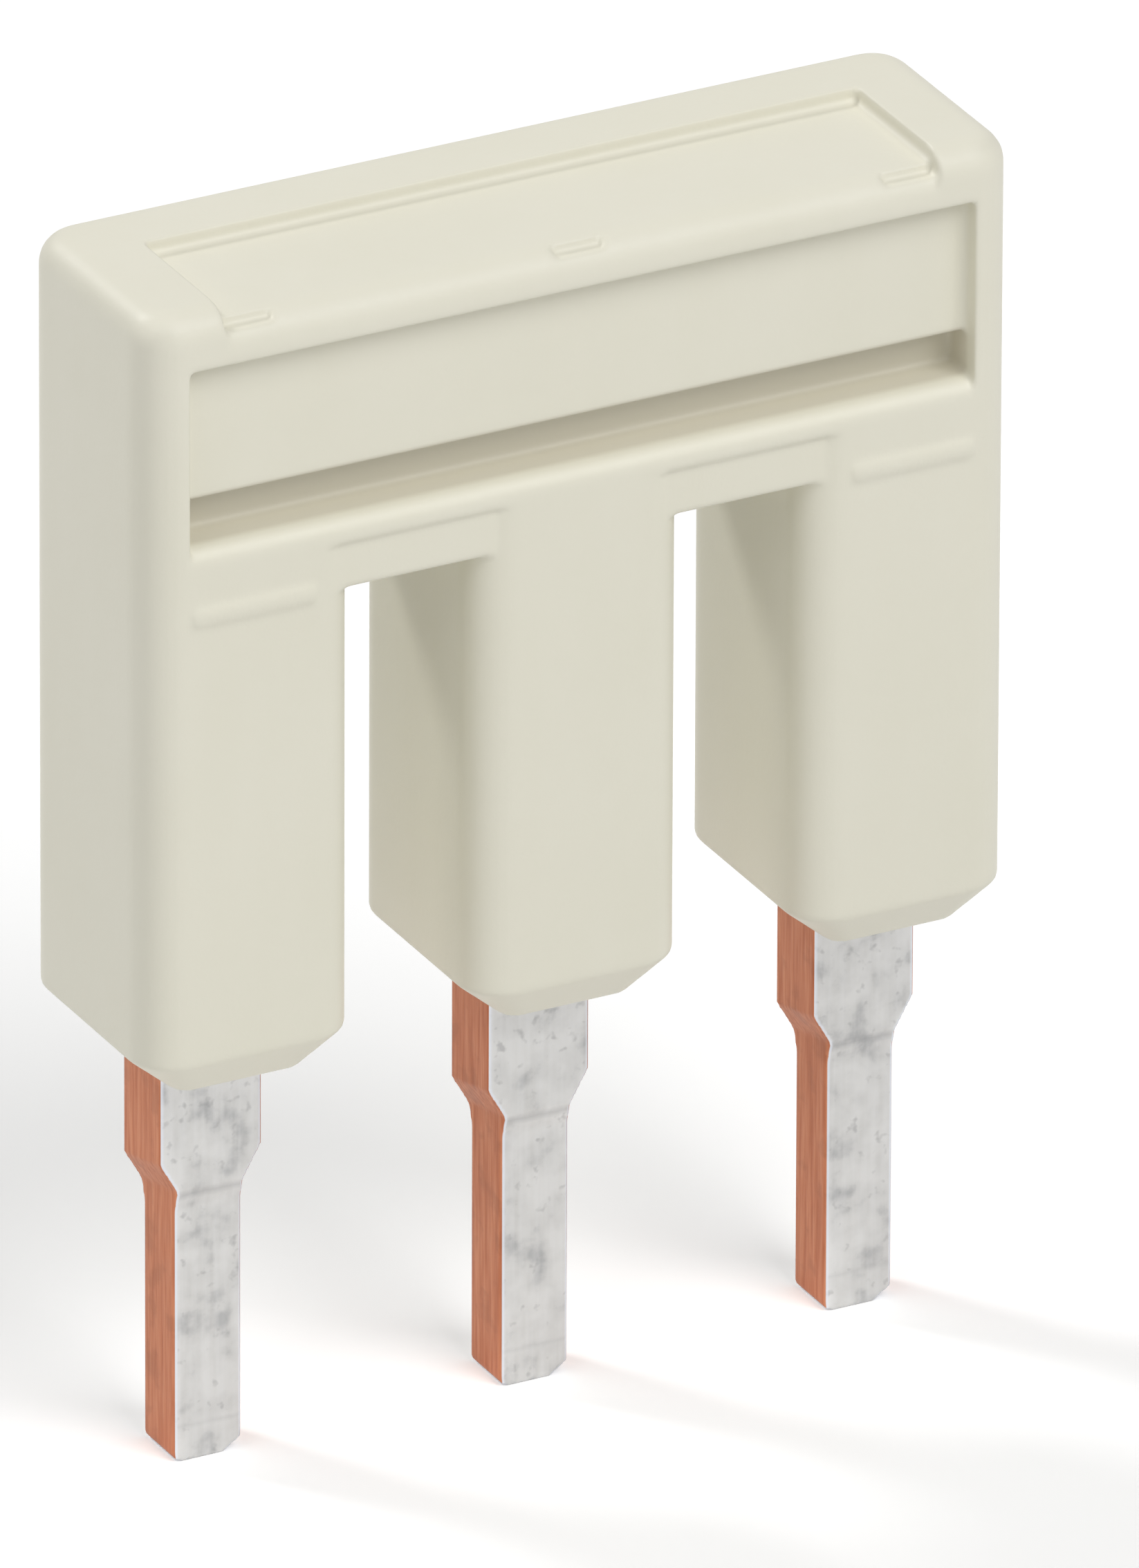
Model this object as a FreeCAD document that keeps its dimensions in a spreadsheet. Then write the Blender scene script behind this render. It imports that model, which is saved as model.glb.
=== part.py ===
import FreeCAD, Part
import math
import os

import Sketcher

# Insulated plug-in jumper bar for a row of terminal blocks.
# Frame: X runs along the bar from pole to pole, Y from the front face to the
# back, Z up from the blade tips. The origin is midway between the outer
# blades, at their tips, on the mid plane of the contact strip.

# Driving sizes, in millimetres unless a line says otherwise.
SIZES = [
    ("poles", 3),                   # count of legs, each with one blade
    ("pitch", 5.2),                 # from one terminal block to the next
    ("housing_depth", 3.85),        # front face to back face
    ("leg_width", 3.34),
    ("leg_length", 7.46),           # foot to the underside of the crossbar
    ("bar_height", 4.74),           # underside of the crossbar to the top
    ("edge_radius", 0.65),          # upright edges of legs and crossbar
    ("top_edge_radius", 0.45),      # rounding all round the top
    ("foot_bevel_side", 0.68),      # lead-in round each foot, seen from the front
    ("foot_bevel_front", 0.41),     # and seen from the side
    ("foot_bevel_height", 0.58),
    ("sole_radius", 0.25),          # upright edges where the foot ends
    ("field_depth", 0.22),          # marking field sunk into the top
    ("field_back_margin", 1.3),     # rim left standing behind it
    ("notch_width", 0.84),          # pole marks in the field's front edge
    ("notch_reach", 0.32),          # from the front face inwards
    ("notch_drop", 0.16),           # below the field's floor
    ("rim_height", 0.85),           # band above the front panel
    ("panel_depth", 0.31),          # front panel, sunk from the front face
    ("panel_end_margin", 0.68),
    ("groove_height", 0.66),        # pull-out groove under the panel
    ("groove_depth", 0.76),
    ("lip_height", 1.13),           # crossbar left below the groove
    ("lip_radius", 0.28),
    ("lip_land", 0.1),              # upright band between the lip and the web
    ("web_setback", 0.08),          # web between the legs, behind their fronts
    ("rib_length", 1.85),           # raised grip rib on each outer leg
    ("rib_width", 0.36),
    ("rib_rise", 0.06),
    ("rib_lift", 0.09),             # its middle above the underside
    ("strip_thickness", 1.16),      # copper strip that the comb is cut from
    ("bus_height", 2.3),
    ("bus_cover", 0.6),             # plastic between the bus and the underside
    ("blade_reach", 6.4),           # blade tip to the foot of the leg
    ("shank_width", 1.6),           # blade next to the housing
    ("blade_width", 1.08),          # blade below its shoulders
    ("blade_thickness", 0.96),      # blade where it is coined thinner
    ("shoulder_level", 4.66),       # top of the shoulders, from the tip
    ("shoulder_height", 0.45),
    ("shoulder_lean", 13),          # degrees, shoulders fall to the back
    ("coin_front_level", 4.36),     # where the thinning starts, in front
    ("coin_back_level", 4.1),       # and behind
    ("coin_ramp", 0.36),            # height over which it thins
    ("tip_chamfer_width", 0.28),    # lead-in at the tip, on the right
    ("tip_chamfer_height", 0.2),
    ("tip_nick_width", 0.1),        # smaller one on the left, by the shear
    ("tip_nick_height", 0.08),
]

# Levels and places that follow from the sizes.
FOOT = "Sizes.blade_reach"
ANKLE = "(Sizes.blade_reach + Sizes.foot_bevel_height)"
UNDERSIDE = "(Sizes.blade_reach + Sizes.leg_length)"
TOP = "(Sizes.blade_reach + Sizes.leg_length + Sizes.bar_height)"
FRONT = "(-Sizes.housing_depth / 2)"
BACK = "(Sizes.housing_depth / 2)"
POLE_SPAN = "((Sizes.poles - 1) * Sizes.pitch)"
FIRST_POLE = "(-(Sizes.poles - 1) * Sizes.pitch / 2)"
BAR_LENGTH = "((Sizes.poles - 1) * Sizes.pitch + Sizes.leg_width)"
FIELD_FLOOR = f"({TOP} - Sizes.field_depth)"
GROOVE_FLOOR = f"({UNDERSIDE} + Sizes.lip_height)"
CAP_LOW = f"({GROOVE_FLOOR} - Sizes.lip_radius - Sizes.lip_land)"
BUS_LOW = f"({UNDERSIDE} + Sizes.bus_cover)"
# A cutting outline runs this far past the face that it opens.
PAST = "Sizes.housing_depth"

# How the axes of a sketch lie on each of the three origin planes.
PLAN = "XY_Plane"         # sketch x is X, sketch y is Y
ELEVATION = "XZ_Plane"    # sketch x is X, sketch y is Z
SECTION = "YZ_Plane"      # sketch x is Y, sketch y is Z

doc = FreeCAD.newDocument("jumper_bar")


def fill_sheet():
    sheet = doc.addObject("Spreadsheet::Sheet", "Sizes")
    for row, (name, value) in enumerate(SIZES, start=1):
        sheet.set(f"A{row}", name)
        sheet.set(f"B{row}", str(value))
        sheet.setAlias(f"B{row}", name)
    doc.recompute()
    return sheet


def new_body(label):
    body = doc.addObject("PartDesign::Body", label)
    body.Label = label
    return body


def new_sketch(body, name, plane, offset=None):
    """A sketch on one of the body's origin planes, moved along its normal by offset."""
    sketch = body.newObject("Sketcher::SketchObject", name)
    origin_plane = [f for f in body.Origin.OriginFeatures if f.Role == plane][0]
    sketch.AttachmentSupport = [(origin_plane, "")]
    sketch.MapMode = "FlatFace"
    if offset:
        sketch.setExpression("AttachmentOffset.Base.z", offset)
    return sketch


def draw(sketch, corners):
    """A closed outline through corners, whose numbers are all expressions.

    A corner is (x, y), or (x, y, radius) where an arc that turns left runs
    from it to the next corner.
    """
    points = [
        FreeCAD.Vector(sketch.evalExpression(c[0]), sketch.evalExpression(c[1]), 0)
        for c in corners
    ]
    first = sketch.GeometryCount
    count = len(corners)
    for i, corner in enumerate(corners):
        start, end = points[i], points[(i + 1) % count]
        if len(corner) == 3:
            sketch.addGeometry(left_arc(start, end, sketch.evalExpression(corner[2])))
        else:
            sketch.addGeometry(Part.LineSegment(start, end))
    for i, corner in enumerate(corners):
        here, after = first + i, first + (i + 1) % count
        sketch.addConstraint(Sketcher.Constraint("Coincident", here, 2, after, 1))
        tie(sketch, ("DistanceX", -1, 1, here, 1), points[i].x, corner[0])
        tie(sketch, ("DistanceY", -1, 1, here, 1), points[i].y, corner[1])
        if len(corner) == 3:
            tie(sketch, ("Radius", here), sketch.evalExpression(corner[2]), corner[2])


def left_arc(start, end, radius):
    """The smaller arc from start to end that turns left."""
    chord = end - start
    left = FreeCAD.Vector(-chord.y, chord.x, 0).normalize()
    reach = math.sqrt(max(radius**2 - (chord.Length / 2) ** 2, 0))
    centre = (start + end) / 2 + left * reach
    circle = Part.Circle(centre, FreeCAD.Vector(0, 0, 1), radius)
    return Part.ArcOfCircle(circle, circle.parameter(start), circle.parameter(end))


def tie(sketch, constraint, value, expression):
    """A dimension whose value follows an expression."""
    index = sketch.addConstraint(Sketcher.Constraint(*constraint, value))
    sketch.setExpression(f"Constraints[{index}]", expression)


def extrude(body, kind, sketch, name, length, symmetric=True):
    """A Pad or a Pocket of a sketch, by default half to each side of it."""
    feature = body.newObject(f"PartDesign::{kind}", name)
    feature.Profile = sketch
    feature.SideType = "Symmetric" if symmetric else "One side"
    feature.setExpression("Length", length)
    return feature


def repeat(body, features, name, sketch, length, count):
    """Copies of features along X, spread over length."""
    pattern = body.newObject("PartDesign::LinearPattern", name)
    pattern.Originals = features
    pattern.Direction = (sketch, ["H_Axis"])
    pattern.Mode = "Extent"
    pattern.setExpression("Length", length)
    pattern.setExpression("Occurrences", count)
    body.Tip = pattern
    return pattern


def rectangle(left, right, low, high):
    return [(left, low), (right, low), (right, high), (left, high)]


def rounded_rectangle(x_middle, width, turn="Sizes.edge_radius", inset="0"):
    """Corners in plan, as deep as the housing less an inset in front and behind."""
    left = f"({x_middle} - {width} / 2)"
    right = f"({x_middle} + {width} / 2)"
    front = f"({FRONT} + {inset})"
    back = f"({BACK} - {inset})"
    return [
        (f"{left} + {turn}", front),
        (f"{right} - {turn}", front, turn),
        (right, f"{front} + {turn}"),
        (right, f"{back} - {turn}", turn),
        (f"{right} - {turn}", back),
        (f"{left} + {turn}", back, turn),
        (left, f"{back} - {turn}"),
        (left, f"{front} + {turn}", turn),
    ]


def cap_web_and_legs(body):
    """The crossbar is a full-depth cap over a web that stands back between the legs."""
    plan = new_sketch(body, "cap_plan", PLAN, CAP_LOW)
    draw(plan, rounded_rectangle("0", BAR_LENGTH))
    extrude(body, "Pad", plan, "cap", f"{TOP} - {CAP_LOW}", symmetric=False)

    plan = new_sketch(body, "web_plan", PLAN, UNDERSIDE)
    front = f"{FRONT} + Sizes.web_setback"
    draw(plan, rectangle(FIRST_POLE, f"-{FIRST_POLE}", front, BACK))
    extrude(body, "Pad", plan, "web", f"{CAP_LOW} - {UNDERSIDE}", symmetric=False)

    leg_plan = new_sketch(body, "leg_plan", PLAN, ANKLE)
    draw(leg_plan, rounded_rectangle(FIRST_POLE, "Sizes.leg_width"))
    leg = extrude(body, "Pad", leg_plan, "leg", f"{CAP_LOW} - {ANKLE}", symmetric=False)

    sole = new_sketch(body, "sole_plan", PLAN, FOOT)
    width = "(Sizes.leg_width - 2 * Sizes.foot_bevel_side)"
    draw(sole, rounded_rectangle(FIRST_POLE, width, "Sizes.sole_radius", "Sizes.foot_bevel_front"))
    foot = body.newObject("PartDesign::AdditiveLoft", "bevelled_foot")
    foot.Profile = leg_plan
    foot.Sections = [sole]
    foot.Ruled = True

    along = new_sketch(body, "leg_row", ELEVATION)
    repeat(body, [leg, foot], "legs", along, POLE_SPAN, "Sizes.poles")


def round_the_top(body):
    base = body.Tip
    top = doc.Sizes.blade_reach + doc.Sizes.leg_length + doc.Sizes.bar_height
    edges = [
        f"Edge{i}"
        for i, edge in enumerate(base.Shape.Edges, start=1)
        if edge.BoundBox.ZMin > top - 1e-4
    ]
    fillet = body.newObject("PartDesign::Fillet", "top_rounding")
    fillet.Base = (base, edges)
    fillet.setExpression("Radius", "Sizes.top_edge_radius")


def marking_field(body):
    """A shallow tray in the top, open to the front, with its front edge rounded again.

    It ends where the notches of the first and the last pole end.
    """
    section = new_sketch(body, "field_section", SECTION)
    wall = f"{BACK} - Sizes.field_back_margin"
    turn = "Sizes.top_edge_radius"
    draw(section, [
        (wall, f"{TOP} + {PAST}"),
        (wall, FIELD_FLOOR),
        (f"{FRONT} + {turn}", FIELD_FLOOR, turn),
        (FRONT, f"{FIELD_FLOOR} - {turn}"),
        (f"{FRONT} - {PAST}", f"{FIELD_FLOOR} - {turn}"),
        (f"{FRONT} - {PAST}", f"{TOP} + {PAST}"),
    ])
    length = f"{POLE_SPAN} + Sizes.notch_width"
    extrude(body, "Pocket", section, "marking_field", length)

    section = new_sketch(body, "notch_section", SECTION, FIRST_POLE)
    floor = f"{FIELD_FLOOR} - Sizes.notch_drop"
    wall = f"{FRONT} + Sizes.notch_reach"
    draw(section, [
        (f"{FRONT} - {PAST}", floor),
        (wall, floor),
        (wall, f"{TOP} + {PAST}"),
        (f"{FRONT} - {PAST}", f"{TOP} + {PAST}"),
    ])
    notch = extrude(body, "Pocket", section, "pole_notch", "Sizes.notch_width")
    along = new_sketch(body, "notch_row", ELEVATION)
    repeat(body, [notch], "pole_notches", along, POLE_SPAN, "Sizes.poles")


def panel_and_groove(body):
    """The sunk front panel, the pull-out groove below it and the groove's rounded lip."""
    section = new_sketch(body, "groove_section", SECTION)
    panel = f"{FRONT} + Sizes.panel_depth"
    deep = f"{FRONT} + Sizes.groove_depth"
    roof = f"{GROOVE_FLOOR} + Sizes.groove_height"
    turn = "Sizes.lip_radius"
    draw(section, [
        (f"{FRONT} - {PAST}", f"{TOP} - Sizes.rim_height"),
        (panel, f"{TOP} - Sizes.rim_height"),
        (panel, roof),
        (deep, roof),
        (deep, GROOVE_FLOOR),
        (f"{FRONT} + {turn}", GROOVE_FLOOR, turn),
        (FRONT, f"{GROOVE_FLOOR} - {turn}"),
        (f"{FRONT} - {PAST}", f"{GROOVE_FLOOR} - {turn}"),
    ])
    length = f"{BAR_LENGTH} - 2 * Sizes.panel_end_margin"
    extrude(body, "Pocket", section, "panel_and_groove", length)


def grip_ribs(body):
    """A low half-round rib across the head of the first and the last leg."""
    section = new_sketch(body, "rib_section", SECTION, FIRST_POLE)
    half = "Sizes.rib_width / 2"
    radius = "((Sizes.rib_width / 2)^2 + Sizes.rib_rise^2) / (2 * Sizes.rib_rise)"
    middle = f"{UNDERSIDE} + Sizes.rib_lift"
    draw(section, [
        (FRONT, f"{middle} + {half}", radius),
        (FRONT, f"{middle} - {half}"),
    ])
    rib = extrude(body, "Pad", section, "grip_rib", "Sizes.rib_length")
    along = new_sketch(body, "rib_row", ELEVATION)
    repeat(body, [rib], "grip_ribs", along, POLE_SPAN, "2")


def build_moulding():
    body = new_body("moulding")
    cap_web_and_legs(body)
    doc.recompute()
    round_the_top(body)
    marking_field(body)
    panel_and_groove(body)
    grip_ribs(body)
    doc.recompute()
    return body


def bus_bar(body):
    outline = new_sketch(body, "bus_outline", ELEVATION)
    half = f"(({POLE_SPAN} + Sizes.shank_width) / 2)"
    draw(outline, rectangle(f"-{half}", half, BUS_LOW, f"{BUS_LOW} + Sizes.bus_height"))
    extrude(body, "Pad", outline, "bus_bar", "Sizes.strip_thickness")


def blades(body):
    """One blade with its shoulders and chamfered tip, repeated at each pole."""
    outline = new_sketch(body, "blade_outline", ELEVATION)
    half = "Sizes.shank_width / 2"
    draw(outline, rectangle(f"{FIRST_POLE} - {half}", f"{FIRST_POLE} + {half}", "0", BUS_LOW))
    blade = extrude(body, "Pad", outline, "blade", "Sizes.strip_thickness")

    relief = new_sketch(body, "shoulder_outline", ELEVATION)
    for side in ("-", "+"):
        shank = f"{FIRST_POLE} {side} Sizes.shank_width / 2"
        between = f"{FIRST_POLE} {side} Sizes.pitch / 2"
        edge = f"{FIRST_POLE} {side} Sizes.blade_width / 2"
        draw(relief, [
            (edge, f"-{PAST}"),
            (between, f"-{PAST}"),
            (between, "Sizes.shoulder_level"),
            (shank, "Sizes.shoulder_level"),
            (edge, "Sizes.shoulder_level - Sizes.shoulder_height"),
        ])
    tip = new_sketch(body, "tip_outline", ELEVATION)
    for side, cut in (("-", "tip_nick"), ("+", "tip_chamfer")):
        edge = f"{FIRST_POLE} {side} Sizes.blade_width / 2"
        inner = f"{FIRST_POLE} {side} (Sizes.blade_width / 2 - Sizes.{cut}_width)"
        draw(tip, [(inner, "0"), (edge, "0"), (edge, f"Sizes.{cut}_height")])
    shoulders = extrude(body, "Pocket", relief, "shoulders", f"2 * {PAST}")
    lean = math.radians(doc.Sizes.shoulder_lean)
    shoulders.UseCustomVector = True
    shoulders.Direction = FreeCAD.Vector(0, math.cos(lean), -math.sin(lean))
    point = extrude(body, "Pocket", tip, "tip_chamfers", "2 * Sizes.strip_thickness")
    repeat(body, [blade, shoulders, point], "blades", outline, POLE_SPAN, "Sizes.poles")


def coined_ends(body):
    """The blades are pressed thinner below a short ramp, in front and behind."""
    section = new_sketch(body, "coin_section", SECTION)
    for side, level in (("-", "Sizes.coin_front_level"), ("", "Sizes.coin_back_level")):
        face = f"{side}Sizes.strip_thickness / 2"
        thin = f"{side}Sizes.blade_thickness / 2"
        outside = f"{side}(Sizes.strip_thickness / 2 + {PAST})"
        draw(section, [
            (thin, f"-{PAST}"),
            (outside, f"-{PAST}"),
            (outside, level),
            (face, level),
            (thin, f"{level} - Sizes.coin_ramp"),
        ])
    extrude(body, "Pocket", section, "coined_ends", f"2 * {BAR_LENGTH}")


def build_comb():
    body = new_body("contact_comb")
    bus_bar(body)
    blades(body)
    coined_ends(body)
    doc.recompute()
    return body


def mould_round(moulding, comb):
    """The housing is moulded round the comb, so the comb's own form is left out of it."""
    housing = doc.addObject("Part::Cut", "housing")
    housing.Base = moulding
    housing.Tool = comb
    housing.Label = "housing"
    doc.recompute()
    return housing


def check_document():
    for item in doc.Objects:
        if "Invalid" in item.State or "Error" in item.State:
            raise RuntimeError(f"{item.Name} failed: {item.State}")


def export(item):
    shape = item.Shape
    if shape.isNull() or not shape.isValid() or len(shape.Solids) != 1:
        raise RuntimeError(f"{item.Label} is not one valid solid")
    box = shape.BoundBox
    print(f"{item.Label}: {shape.Volume:.3f} mm3, X {box.XMin:.3f} to {box.XMax:.3f}, "
          f"Y {box.YMin:.3f} to {box.YMax:.3f}, Z {box.ZMin:.3f} to {box.ZMax:.3f}")
    shape.exportStep(f"parts/{item.Label}.step")


os.makedirs("parts", exist_ok=True)
fill_sheet()
moulding = build_moulding()
comb = build_comb()
housing = mould_round(moulding, comb)
check_document()
for item in (housing, comb):
    export(item)
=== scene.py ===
import math

import bmesh
import bpy
from mathutils import Matrix, Vector


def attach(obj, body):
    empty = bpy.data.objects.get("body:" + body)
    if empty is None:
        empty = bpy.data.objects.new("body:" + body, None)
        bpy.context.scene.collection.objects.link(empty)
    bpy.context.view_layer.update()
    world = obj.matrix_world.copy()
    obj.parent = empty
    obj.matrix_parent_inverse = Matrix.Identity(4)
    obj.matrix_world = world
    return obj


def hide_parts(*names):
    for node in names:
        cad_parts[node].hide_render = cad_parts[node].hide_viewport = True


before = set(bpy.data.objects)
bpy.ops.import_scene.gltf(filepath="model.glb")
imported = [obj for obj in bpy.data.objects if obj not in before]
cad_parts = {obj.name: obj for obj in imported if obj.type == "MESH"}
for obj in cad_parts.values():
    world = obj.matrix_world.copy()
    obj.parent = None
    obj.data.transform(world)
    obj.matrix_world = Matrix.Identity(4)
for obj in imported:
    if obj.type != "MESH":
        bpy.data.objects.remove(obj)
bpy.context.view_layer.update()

MM = 0.001

# Painted shade in the pull-out groove, in millimetres: its half width, mouth, back,
# floor and roof.
GROOVE_END = 6.25
GROOVE_MOUTH, GROOVE_BACK = -1.66, -1.0
GROOVE_FLOOR, GROOVE_ROOF = 14.9, 15.7

# Creases pressed across the blades, with painted shade: level and width in millimetres,
# and strength.
CREASE_AND_SHADE_BANDS = ((4.24, 0.1, 0.34), (0.56, 0.06, 0.14))
SCUFFED_ABOVE = 5.0  # millimetres up the blades, next to the plastic

BUMP_HEIGHT = 0.02 * MM  # of the grain and the marks in both finishes

# Softened copies: the skin's pitch in millimetres, and the share of faces kept.
SKIN_PITCH = 0.05
FACES_KEPT = 0.26

# Lamps: azimuth and elevation in degrees, width in metres, power in watts.
LAMP_DISTANCE = 0.5
LAMPS = {
    "behind_left": (214, 43, 0.11, 0.82),
    "left": (-66, 50, 0.3, 0.3),
    "front_right": (18, 50, 0.35, 1.46),
}
LIT_POINT = Vector((0, 0, 9 * MM))

# The camera: angles in degrees, its distance, the frame's pixels over those in a
# millimetre of the object, and the point that it looks at.
VIEW_AZIMUTH, VIEW_ELEVATION, VIEW_ROLL = -27.6, 25.97, 0.21
VIEW_DISTANCE = 560 * MM
FRAME_HEIGHT = 2268 / 102.55 * MM
VIEW_LEVEL, VIEW_RIGHT, VIEW_DOWN = 9.36 * MM, 0.688 * MM, 0.137 * MM


class Wire:
    """One output of a finish's nodes, so that its sums read as sums."""

    def __init__(self, finish, socket):
        self.finish = finish
        self.socket = socket

    def maths(self, operation, left, right, **settings):
        node = self.finish.tree.nodes.new("ShaderNodeMath")
        node.operation = operation
        for name, value in settings.items():
            setattr(node, name, value)
        for socket, value in zip(node.inputs, (left, right)):
            self.finish.feed(socket, value)
        return Wire(self.finish, node.outputs[0])

    def __add__(self, other):
        return self.maths("ADD", self, other)

    __radd__ = __add__

    def __mul__(self, other):
        return self.maths("MULTIPLY", self, other)

    __rmul__ = __mul__

    def __sub__(self, other):
        return self.maths("SUBTRACT", self, other)

    def __rsub__(self, other):
        return self.maths("SUBTRACT", other, self)

    def __abs__(self):
        return self.maths("ABSOLUTE", self, 0.0)

    def above(self, level, soft):
        """1 where the value is past a level, fading over a soft band."""
        return self.maths("ADD", (self - level) * (1.0 / soft), 0.5, use_clamp=True)


class Finish:
    """A material, or the studio's surroundings, built from nodes."""

    def __init__(self, name, kind=bpy.data.materials):
        self.owner = kind.new(name)
        self.owner.use_nodes = True
        self.tree = self.owner.node_tree
        self.tree.nodes.clear()

    def feed(self, socket, value):
        if isinstance(value, Wire):
            self.tree.links.new(value.socket, socket)
        else:
            socket.default_value = value

    def node(self, kind, inputs=None, output=0, stops=None, **settings):
        made = self.tree.nodes.new("ShaderNode" + kind)
        for name, value in settings.items():
            setattr(made, name, value)
        if stops:
            self.set_stops(made.color_ramp.elements, stops)
        for name, value in (inputs or {}).items():
            self.feed(made.inputs[name], value)
        return Wire(self, made.outputs[output] if made.outputs else None)

    def set_stops(self, elements, stops):
        while len(elements) < len(stops):
            elements.new(0.5)
        for element, (place, shade) in zip(elements, stops):
            element.position = place
            element.color = shade

    def blend(self, amount, first, second):
        """One colour turning into another."""
        made = self.node("Mix", data_type="RGBA").socket.node
        self.feed(made.inputs["Factor"], amount)
        self.feed(made.inputs[6], first)
        self.feed(made.inputs[7], second)
        return Wire(self, made.outputs[2])

    def mix_shaders(self, amount, first, second):
        made = self.node("MixShader", {"Fac": amount}).socket.node
        self.feed(made.inputs[1], first)
        self.feed(made.inputs[2], second)
        return Wire(self, made.outputs[0])

    def add_shaders(self, first, second):
        made = self.node("AddShader").socket.node
        self.feed(made.inputs[0], first)
        self.feed(made.inputs[1], second)
        return Wire(self, made.outputs[0])

    def spots(self, place, size, stretch=(1, 1, 1), detail=2.0, shift=(0, 0, 0)):
        """Cloudy noise. Its patches are about one size, in millimetres, stretched."""
        scaled = self.node("Mapping", {
            "Vector": place,
            "Location": shift,
            "Scale": tuple(1.0 / (size * part * MM) for part in stretch),
        })
        return self.node("TexNoise", {"Vector": scaled, "Scale": 1.0, "Detail": detail})

    def shown_plainly(self):
        """1 for what the camera sees, straight or in metal or glass."""
        seen = self.node("LightPath", output="Is Camera Ray")
        for way in ("Is Glossy Ray", "Is Transmission Ray"):
            seen = seen.maths("MAXIMUM", seen, self.node("LightPath", output=way))
        return seen

    def out(self, shader, onto="OutputMaterial"):
        self.node(onto, {"Surface": shader})
        return self.owner


def grey(level):
    """An amount of light from 0 to 1, as the colour that a socket takes."""
    return (level, level, level, 1.0)


def linear(level):
    """A screen level from 0 to 255 as an amount of light from 0 to 1."""
    level /= 255
    return level / 12.92 if level <= 0.04045 else ((level + 0.055) / 1.055) ** 2.4


def screen(red, green, blue):
    """Screen levels from 0 to 255 as a linear colour."""
    return (linear(red), linear(green), linear(blue), 1.0)


def ivory_polyamide():
    """Moulded plastic: faint clouds and flow marks, fine grain, and painted shade in the
    groove.
    """
    finish = Finish("ivory_polyamide")
    place = finish.node("TexCoord", output="Object")
    along, across, height = (
        finish.node("SeparateXYZ", {"Vector": place}, output=axis) * (1 / MM)
        for axis in "XYZ")
    cloud = finish.spots(place, 2.4, detail=3.0)
    grain = finish.spots(place, 0.09, detail=2.0)
    flow = finish.spots(place, 0.6, stretch=(1, 1, 9), detail=2.0, shift=(5.1, 2.2, 0.9))
    base = finish.blend(cloud * 0.7 + flow * 0.3,
                        screen(232, 229, 214), screen(226, 223, 205))
    # Shade painted into the groove: the plastic there turns darker and warmer.
    groove_painted_shade = ((GROOVE_END - abs(along)).above(0.0, soft=0.1)
                 * across.above(GROOVE_MOUTH, soft=0.12)
                 * height.above(GROOVE_FLOOR, soft=0.1)
                 * (GROOVE_ROOF - height).above(0.0, soft=0.04)
                 * (GROOVE_BACK - across).above(0.0, soft=0.1))
    base = finish.blend(groove_painted_shade * 0.6, base, screen(210, 204, 187))
    bump = finish.node("Bump", {
        "Strength": 0.12,
        "Distance": BUMP_HEIGHT,
        "Height": grain,
    })
    return finish.out(finish.node("BsdfPrincipled", {
        "Base Color": base,
        "Roughness": grain * 0.1 + 0.42,
        "IOR": 1.5,
        "Normal": bump,
    }))


def stamped_contact():
    """Tin on the strip's broad faces and bare copper where it was sheared."""
    finish = Finish("stamped_contact")
    place = finish.node("TexCoord", output="Object")
    facing = finish.node("TexCoord", output="Normal")
    sideways = abs(finish.node("SeparateXYZ", {"Vector": facing}, output="X"))
    height = finish.node("SeparateXYZ", {"Vector": place}, output="Z") * (1 / MM)
    sheared = sideways.above(0.66, soft=0.1)
    edge_painted_highlight = sideways.above(0.3, soft=0.2) * (1 - sheared)
    smudge = finish.spots(place, 0.5, detail=4.0, shift=(3.1, 0.4, 7.7))
    speck = finish.spots(place, 0.2, detail=2.0, shift=(1.7, 2.9, 0.3))
    drawn = finish.spots(place, 0.1, stretch=(1, 1, 18), detail=2.0)

    tin = finish.node("ValToRGB", {"Fac": smudge}, stops=[
        (0.30, screen(170, 170, 170)),
        (0.44, screen(199, 198, 196)),
        (0.62, screen(209, 208, 206)),
    ])
    tin = finish.blend(drawn.above(0.5, soft=0.4) * 0.3, tin, screen(220, 220, 220))
    scuffed = height.above(SCUFFED_ABOVE, soft=1.2)
    marks = (0.36 + scuffed * 0.06 - speck).above(0.06, soft=0.12) * 0.45
    tin = finish.blend(marks, tin, screen(146, 145, 146))
    wavering = height + (smudge - 0.5) * 0.12
    # Each crease dents the bump, and a band of painted shade darkens the tin along it.
    creases_and_shade = sum(
        (1 - abs(wavering - level) * (1 / width)).above(0.5, soft=1.0) * strength
        for level, width, strength in CREASE_AND_SHADE_BANDS)
    tin = finish.blend(creases_and_shade, tin, screen(140, 140, 142))
    # A pale bluish highlight painted on the tin's rounded edges.
    tin = finish.blend(edge_painted_highlight * 0.7, tin, screen(216, 220, 228))

    torn = finish.spots(place, 0.07, stretch=(1, 1, 16), detail=2.0)
    copper = finish.node("ValToRGB", {"Fac": torn}, stops=[
        (0.30, screen(178, 112, 82)),
        (0.50, screen(190, 125, 94)),
        (0.72, screen(200, 138, 106)),
    ])
    copper = finish.blend((0.4 - smudge).above(0.0, soft=0.1) * 0.3, copper,
                          screen(150, 92, 66))

    dents = smudge * 0.7 + speck * 0.3 - creases_and_shade * 2
    bump = finish.node("Bump", {
        "Strength": 0.3,
        "Distance": BUMP_HEIGHT,
        "Height": torn * sheared + dents * (1 - sheared),
    })
    return finish.out(finish.node("BsdfPrincipled", {
        "Base Color": finish.blend(sheared, tin, copper),
        "Metallic": 1.0,
        "Roughness": sheared * 0.06 + (smudge * 0.2 + 0.34),
        "Normal": bump,
    }))


def white_table():
    """A studio table that the camera and the metal see as plain white, except
    where a shadow falls on it."""
    finish = Finish("white_table")
    seen = finish.shown_plainly()
    table = finish.node("BsdfDiffuse", {"Color": grey(0.92)})
    lit = finish.node("BsdfDiffuse", {"Color": grey(1.0)})
    glow = finish.node("Emission", {"Color": grey(1.0), "Strength": 0.17})
    return finish.out(finish.mix_shaders(seen, table, finish.add_shaders(lit, glow)))


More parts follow.
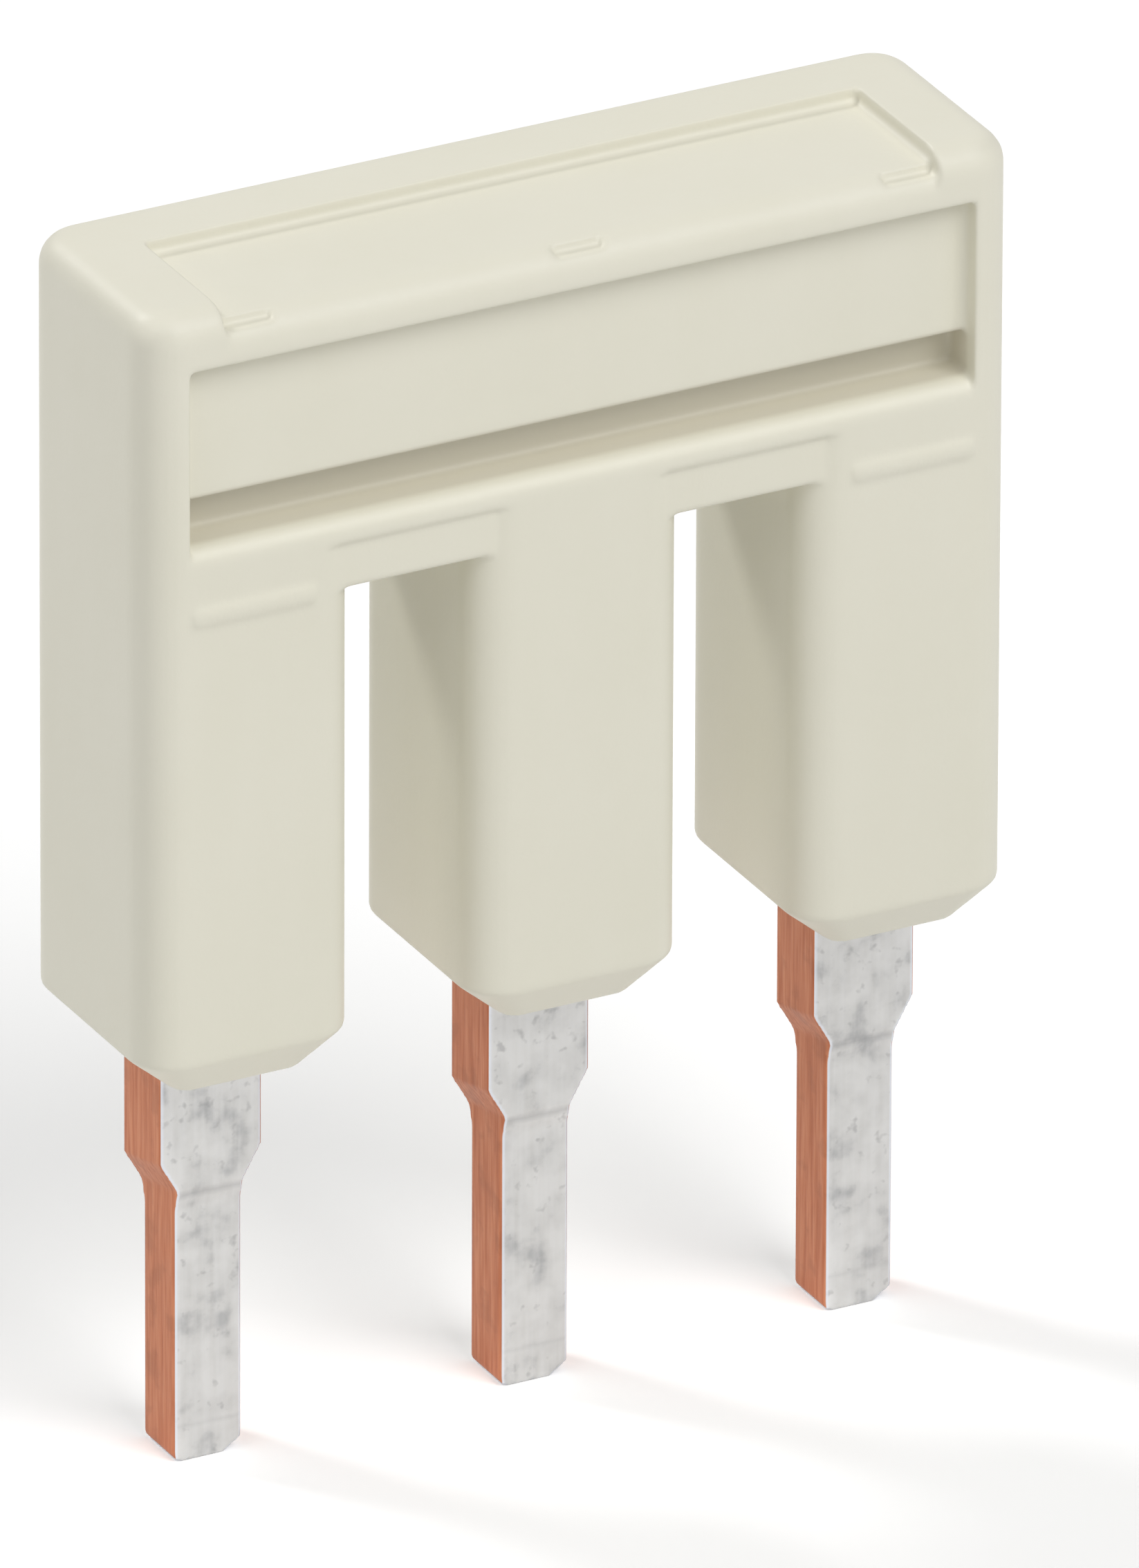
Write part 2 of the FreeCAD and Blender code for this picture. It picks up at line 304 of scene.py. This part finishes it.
def soften(node, name, material, passes):
    """A copy of a CAD node with its sharp edges worn round, as a mould leaves them.

    The copy is rebuilt in millimetres as a fine even skin, smoothed in as many
    passes as are given, and thinned out where it is flat."""
    body = bmesh.new()
    body.from_mesh(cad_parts[node].data)
    bmesh.ops.remove_doubles(body, verts=body.verts, dist=0.0001 * MM)
    bmesh.ops.scale(body, vec=(1 / MM, 1 / MM, 1 / MM), verts=body.verts)
    mesh = bpy.data.meshes.new(name)
    body.to_mesh(mesh)
    body.free()
    piece = bpy.data.objects.new(name, mesh)
    bpy.context.scene.collection.objects.link(piece)
    skin = piece.modifiers.new("even_skin", "REMESH")
    skin.mode = "VOXEL"
    skin.voxel_size = SKIN_PITCH
    worn = piece.modifiers.new("worn_edges", "SMOOTH")
    worn.iterations = passes
    worn.factor = 0.5
    flats = piece.modifiers.new("fewer_faces", "DECIMATE")
    flats.ratio = FACES_KEPT
    bpy.context.view_layer.update()
    shown = piece.evaluated_get(bpy.context.evaluated_depsgraph_get())
    finished = bpy.data.meshes.new_from_object(shown)
    finished.transform(Matrix.Scale(MM, 4))
    finished.shade_smooth()
    piece.modifiers.clear()
    piece.data = finished
    finished.materials.clear()
    finished.materials.append(material)
    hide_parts(node)
    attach(piece, "root")


def lay_table():
    size = 0.6  # metres from the middle to each side
    mesh = bpy.data.meshes.new("table")
    corners = [(-size, -size, 0), (size, -size, 0), (size, size, 0), (-size, size, 0)]
    mesh.from_pydata(corners, [], [(0, 1, 2, 3)])
    table = bpy.data.objects.new("table", mesh)
    mesh.materials.append(white_table())
    bpy.context.scene.collection.objects.link(table)


def direction(azimuth, elevation):
    """Towards a lamp or the camera, from degrees. Azimuth runs from the front to the
    right, and elevation from the table up."""
    turn, rise = math.radians(azimuth), math.radians(elevation)
    return Vector((
        math.sin(turn) * math.cos(rise),
        -math.cos(turn) * math.cos(rise),
        math.sin(rise),
    ))


def soft_box(name, azimuth, elevation, width, power):
    """A round lamp that points at the object."""
    towards = direction(azimuth, elevation)
    data = bpy.data.lights.new(name, "AREA")
    data.shape = "DISK"
    data.size = width
    data.energy = power
    lamp = bpy.data.objects.new(name, data)
    bpy.context.scene.collection.objects.link(lamp)
    lamp.location = towards * LAMP_DISTANCE
    lamp.rotation_mode = "QUATERNION"
    lamp.rotation_quaternion = (LIT_POINT - lamp.location).to_track_quat("-Z", "Y")


def light_studio():
    """A light tent, white where it is seen and dimmer as a light, and its lamps. The
    lamp behind on the left draws the shadows beside the blades."""
    tent = Finish("studio", bpy.data.worlds)
    bright = tent.shown_plainly() * 0.8 + 0.2
    bpy.context.scene.world = tent.out(
        tent.node("Background", {"Color": grey(1.0), "Strength": bright}), "OutputWorld")
    for name, settings in LAMPS.items():
        soft_box(name, *settings)


def set_camera():
    """The photograph's view: from the left and well above, with a long lens."""
    back = direction(VIEW_AZIMUTH, VIEW_ELEVATION)
    turn, roll = math.radians(VIEW_AZIMUTH), math.radians(VIEW_ROLL)
    right = Vector((math.cos(turn), math.sin(turn), 0))
    up = back.cross(right)
    rolled_right = right * math.cos(roll) + up * math.sin(roll)
    rolled_up = up * math.cos(roll) - right * math.sin(roll)
    aside = rolled_right * VIEW_RIGHT - rolled_up * VIEW_DOWN
    middle = Vector((0, 0, VIEW_LEVEL)) + aside
    data = bpy.data.cameras.new("camera")
    # An upright frame takes the sensor's width for its height.
    data.lens = data.sensor_width * VIEW_DISTANCE / FRAME_HEIGHT
    data.clip_start, data.clip_end = 0.01, 10
    camera = bpy.data.objects.new("camera", data)
    bpy.context.scene.collection.objects.link(camera)
    camera.location = middle + back * VIEW_DISTANCE
    camera.rotation_mode = "QUATERNION"
    axes = Matrix((rolled_right, rolled_up, back)).transposed()
    camera.rotation_quaternion = axes.to_quaternion()
    bpy.context.scene.camera = camera


soften("housing", "moulded_housing", ivory_polyamide(), passes=3)
soften("contact_comb", "tinned_comb", stamped_contact(), passes=1)
lay_table()
light_studio()
set_camera()
bpy.context.scene.view_settings.view_transform = "Standard"
